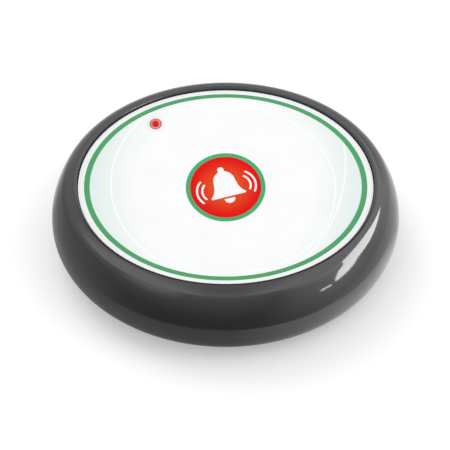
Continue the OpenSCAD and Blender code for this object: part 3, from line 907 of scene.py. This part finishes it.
class CALL_OT_emblem(DressOperator, bpy.types.Operator):
    """Print the emblem: a red disc in a green border with a ringing bell"""

    bl_idname = "call_button.emblem"
    bl_label = "Emblem"

    def execute(self, context):
        emblem = context.scene.call_emblem
        face = context.scene.call_face
        low = SHEET_HIGH[2]
        middle = low + face.ink_thickness
        top = middle + face.ink_thickness
        inside = emblem.radius - emblem.border_width

        border = revolve(bmesh.new(), washer(inside, emblem.radius, low, middle), EMBLEM_STEPS)
        disc = slab(bmesh.new(), circle(0.0, 0.0, inside, EMBLEM_STEPS), low, middle)
        bell = bmesh.new()
        for outline in ringing_bell(emblem):
            slab(bell, outline, middle, top)

        pieces = (
            ("emblem_border", border, plain_ink("border_ink", emblem.border_colour)),
            ("emblem_disc", disc, emblem_ink(emblem, face.print_stretch)),
            ("bell_sign", bell, plain_ink("bell_ink", emblem.bell_colour)),
        )
        for name, bm, material in pieces:
            for vert in bm.verts:
                vert.co.y = vert.co.y * face.print_stretch - emblem.drop
            piece = make_piece(name, bm, material)
            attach(piece, "key")
        return {"FINISHED"}


class CALL_OT_lamp(DressOperator, bpy.types.Operator):
    """Make the lit lamp with its lens"""

    bl_idname = "call_button.lamp"
    bl_label = "Lamp"

    def execute(self, context):
        lamp = context.scene.call_lamp
        brim_r = (LAMP_HIGH[0] - LAMP_LOW[0]) / 2
        bottom, top = LAMP_LOW[2], LAMP_HIGH[2]
        brim_z = bottom + lamp.brim_height
        flatness = (top - SHEET_HIGH[2]) / lamp.lens_radius
        foot = [(0.0, bottom), (brim_r, bottom), (brim_r, brim_z), (lamp.lens_radius, brim_z)]
        dome = arc(0.0, 0.0, lamp.lens_radius, 0, 90, steps=16)
        cap = [(r, SHEET_HIGH[2] + flatness * z) for r, z in dome]
        bm = revolve(bmesh.new(), foot + cap, LENS_STEPS, (LAMP_X, LAMP_Y))
        lens = make_piece("lamp_lens", bm, lamp_lens(lamp))
        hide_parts("indicator_lamp")
        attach(lens, "housing")
        return {"FINISHED"}


class CALL_OT_inner_finish(DressOperator, bpy.types.Operator):
    """Give every other piece of the assembly its finish"""

    bl_idname = "call_button.inner_finish"
    bl_label = "Inner finish"

    def execute(self, context):
        finishes = {
            **self.plastics(context.scene.call_housing.base_colour),
            **self.metals(),
            "housing_seal": soft_rubber("seal_rubber", (0.012, 0.012, 0.012)),
            "rubber_feet": soft_rubber("foot_rubber", (0.016, 0.016, 0.017)),
            "circuit_board": solder_mask("solder_mask", (0.012, 0.11, 0.035)),
        }
        for name, material in finishes.items():
            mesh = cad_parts[name].data
            mesh.materials.clear()
            mesh.materials.append(material)
        return {"FINISHED"}

    def plastics(self, base):
        """Finishes of the moulded and cast pieces."""
        satin = moulded_plastic("base_satin", base, roughness=0.42, grain=1800.0, depth_mm=0.04)
        white = moulded_plastic(
            "plate_white", (0.72, 0.73, 0.72), roughness=0.35, grain=1200.0, depth_mm=0.02)
        film = moulded_plastic(
            "adhesive_film", (0.62, 0.58, 0.46), roughness=0.4, grain=900.0, depth_mm=0.02)
        black = moulded_plastic("switch_black", (0.02, 0.02, 0.02), roughness=0.5, grain=1500.0)
        epoxy = moulded_plastic("chip_epoxy", (0.018, 0.018, 0.020), roughness=0.55, grain=2400.0)
        ceramic = moulded_plastic(
            "ceramic_tan", (0.32, 0.22, 0.11), roughness=0.5, grain=1500.0, depth_mm=0.02)
        return {
            "lower_housing": satin,
            "battery_door": satin,
            "call_key": white,
            "label_adhesive": film,
            "switch_base": black,
            "switch_plunger": black,
            "encoder_chip": epoxy,
            "rf_transistor": epoxy,
            "chip_resistors": epoxy,
            "chip_capacitors": ceramic,
        }

    def metals(self):
        """Finishes of the metal pieces."""
        steel = plated_metal("bright_steel", (0.62, 0.62, 0.63), roughness=0.28, grain=500.0)
        tin = plated_metal("tinned_copper", (0.66, 0.65, 0.61), roughness=0.32, grain=700.0)
        gold = plated_metal("antenna_gold", (0.72, 0.48, 0.18), roughness=0.25, grain=700.0)
        sleeve = plated_metal("capacitor_sleeve", (0.05, 0.06, 0.13), roughness=0.35, grain=400.0)
        cell = plated_metal("cell_steel", (0.58, 0.58, 0.59), roughness=0.3, grain=300.0)
        return {
            "switch_cover": steel,
            "rf_resonator": steel,
            "battery_spring": steel,
            "housing_screws": steel,
            "board_screws": steel,
            "switch_pins": tin,
            "lamp_leads": tin,
            "chip_pins": tin,
            "battery_contact": tin,
            "spring_antenna": gold,
            "buffer_capacitor": sleeve,
            "battery": cell,
        }


class CALL_OT_stage(DressOperator, bpy.types.Operator):
    """Set up the floor, the light and the camera"""

    bl_idname = "call_button.stage"
    bl_label = "Stage"

    def execute(self, context):
        stage = context.scene.call_stage
        self.floor(stage)
        self.cards(stage)
        self.world(context, stage)
        self.lights()
        self.camera(context, stage)
        context.scene.view_settings.view_transform = "Standard"
        return {"FINISHED"}

    def floor(self, stage):
        """The white floor under the object."""
        bm = bmesh.new()
        bmesh.ops.create_grid(bm, x_segments=1, y_segments=1, size=FLOOR_REACH)
        make_piece("floor", bm, floor_white(stage))

    def cards(self, stage):
        """Cards that only glossy surfaces see: a dim front, a dim table, a sky and a bright window."""
        card_r = stage.card_radius
        window_r = card_r - stage.window_gap
        front = [(turn, (card_r, low * MM), (card_r, stage.card_height)) for turn, low in FRONT_EDGE]
        table_z, sky_z = stage.table_lift, stage.sky_height
        table = [(turn, (stage.table_inner, table_z), (card_r, table_z)) for turn in TABLE_ENDS]
        sky = [(turn, (0.0, sky_z), (stage.sky_radius, sky_z)) for turn in SKY_ENDS]
        tail, window = (
            [(turn, (window_r, low * MM), (window_r, high * MM)) for turn, low, high in edge]
            for edge in (WINDOW_TAIL, WINDOW_EDGE))
        bright = window_light(stage)
        cards = (
            self.strip("front_card", front, front_light()),
            self.strip("table_card", table, table_light()),
            self.strip("sky_card", sky, sky_light(stage)),
            self.strip("window_tail", tail, bright),
            self.strip("window_card", window, bright),
        )
        for card in cards:
            card.visible_camera = False
            card.visible_diffuse = False
            card.visible_transmission = False
            card.visible_shadow = False

    def strip(self, name, stations, material):
        """A strip round the object between stations of (turn, low end, high end).

        The ends are (radius, height). 0 degrees is along X, and -90 is towards the camera.
        """
        rows = []
        bm = bmesh.new()
        for (turn, *ends), (next_turn, *next_ends) in zip(stations, stations[1:]):
            steps = max(1, round((next_turn - turn) / CARD_STEP))
            sweep = arc(0.0, 0.0, 1.0, turn, next_turn, steps)
            for i, (x, y) in enumerate(sweep):
                row = []
                for end, next_end in zip(ends, next_ends):
                    r, z = Vector(end).lerp(Vector(next_end), i / steps)
                    row.append(bm.verts.new((r * x, r * y, z)))
                rows.append(row)
        for here, there in zip(rows, rows[1:]):
            bm.faces.new((here[0], there[0], there[1], here[1]))
        bmesh.ops.remove_doubles(bm, verts=bm.verts, dist=MERGE_DISTANCE)
        return make_piece(name, bm, material)

    def world(self, context, stage):
        """White surroundings, a little dimmer as a light than where they are seen."""
        world = bpy.data.worlds.new("studio")
        world.use_nodes = True
        context.scene.world = world
        nodes = Nodes(world.node_tree)
        background = world.node_tree.nodes["Background"]
        nodes.feed(background.inputs["Color"], WHITE)
        nodes.feed(background.inputs["Strength"], nodes.fade(stage.surround_light, nodes.seen()))

    def lights(self):
        """The soft lights, which glossy surfaces don't show."""
        for name, (place, side, power) in SOFT_LIGHTS.items():
            light = bpy.data.lights.new(name, "AREA")
            light.size = side
            light.energy = power
            obj = link(bpy.data.objects.new(name, light))
            obj.visible_glossy = False
            obj.location = place
            obj.rotation_euler = (-Vector(place)).to_track_quat("-Z", "Y").to_euler()

    def camera(self, context, stage):
        """The camera, turned so that the middle of the face lies at its place in the picture."""
        data = bpy.data.cameras.new("camera")
        data.sensor_width = SENSOR_WIDTH
        data.lens = stage.focal_length
        data.clip_start = CLIP_START
        obj = link(bpy.data.objects.new("camera", data))
        up = stage.camera_height
        middle = Vector((0.0, 0.0, SHEET_HIGH[2]))
        obj.location = middle + stage.camera_distance * Vector((0.0, -math.cos(up), math.sin(up)))
        pixels = stage.focal_length / SENSOR_WIDTH * PICTURE_SIDE
        down = math.atan((PICTURE_SIDE / 2 - stage.face_row) / pixels)
        aside = math.atan((PICTURE_SIDE / 2 - stage.face_column) / pixels)
        obj.rotation_euler = (math.pi / 2 - up - down, 0.0, -aside)
        context.scene.camera = obj


class CALL_PT_panel(bpy.types.Panel):
    """Steps and settings of the call button"""

    bl_idname = "CALL_PT_panel"
    bl_label = "Call Button"
    bl_space_type = "VIEW_3D"
    bl_region_type = "UI"
    bl_category = "Call Button"

    def draw(self, context):
        for step in STEPS:
            self.layout.operator(step.bl_idname)
        for name, group in SETTINGS.items():
            box = self.layout.box()
            box.label(text=group.__doc__)
            for key in group.__annotations__:
                box.prop(getattr(context.scene, name), key)


SETTINGS = {
    "call_housing": HousingSettings,
    "call_face": FaceSettings,
    "call_emblem": EmblemSettings,
    "call_lamp": LampSettings,
    "call_stage": StageSettings,
}
STEPS = (CALL_OT_housing, CALL_OT_face, CALL_OT_emblem, CALL_OT_lamp, CALL_OT_inner_finish, CALL_OT_stage)
CLASSES = (*SETTINGS.values(), *STEPS, CALL_PT_panel)


def register():
    """Makes the settings, the steps and the panel known to Blender."""
    for cls in CLASSES:
        bpy.utils.register_class(cls)
    for name, group in SETTINGS.items():
        setattr(bpy.types.Scene, name, PointerProperty(type=group))


def unregister():
    """Takes the settings, the steps and the panel away again."""
    for name in SETTINGS:
        delattr(bpy.types.Scene, name)
    for cls in reversed(CLASSES):
        bpy.utils.unregister_class(cls)


def main():
    """Makes every piece and the stage."""
    register()
    bpy.ops.call_button.housing()
    bpy.ops.call_button.face()
    bpy.ops.call_button.emblem()
    bpy.ops.call_button.lamp()
    bpy.ops.call_button.inner_finish()
    bpy.ops.call_button.stage()


if __name__ == "__main__":
    main()
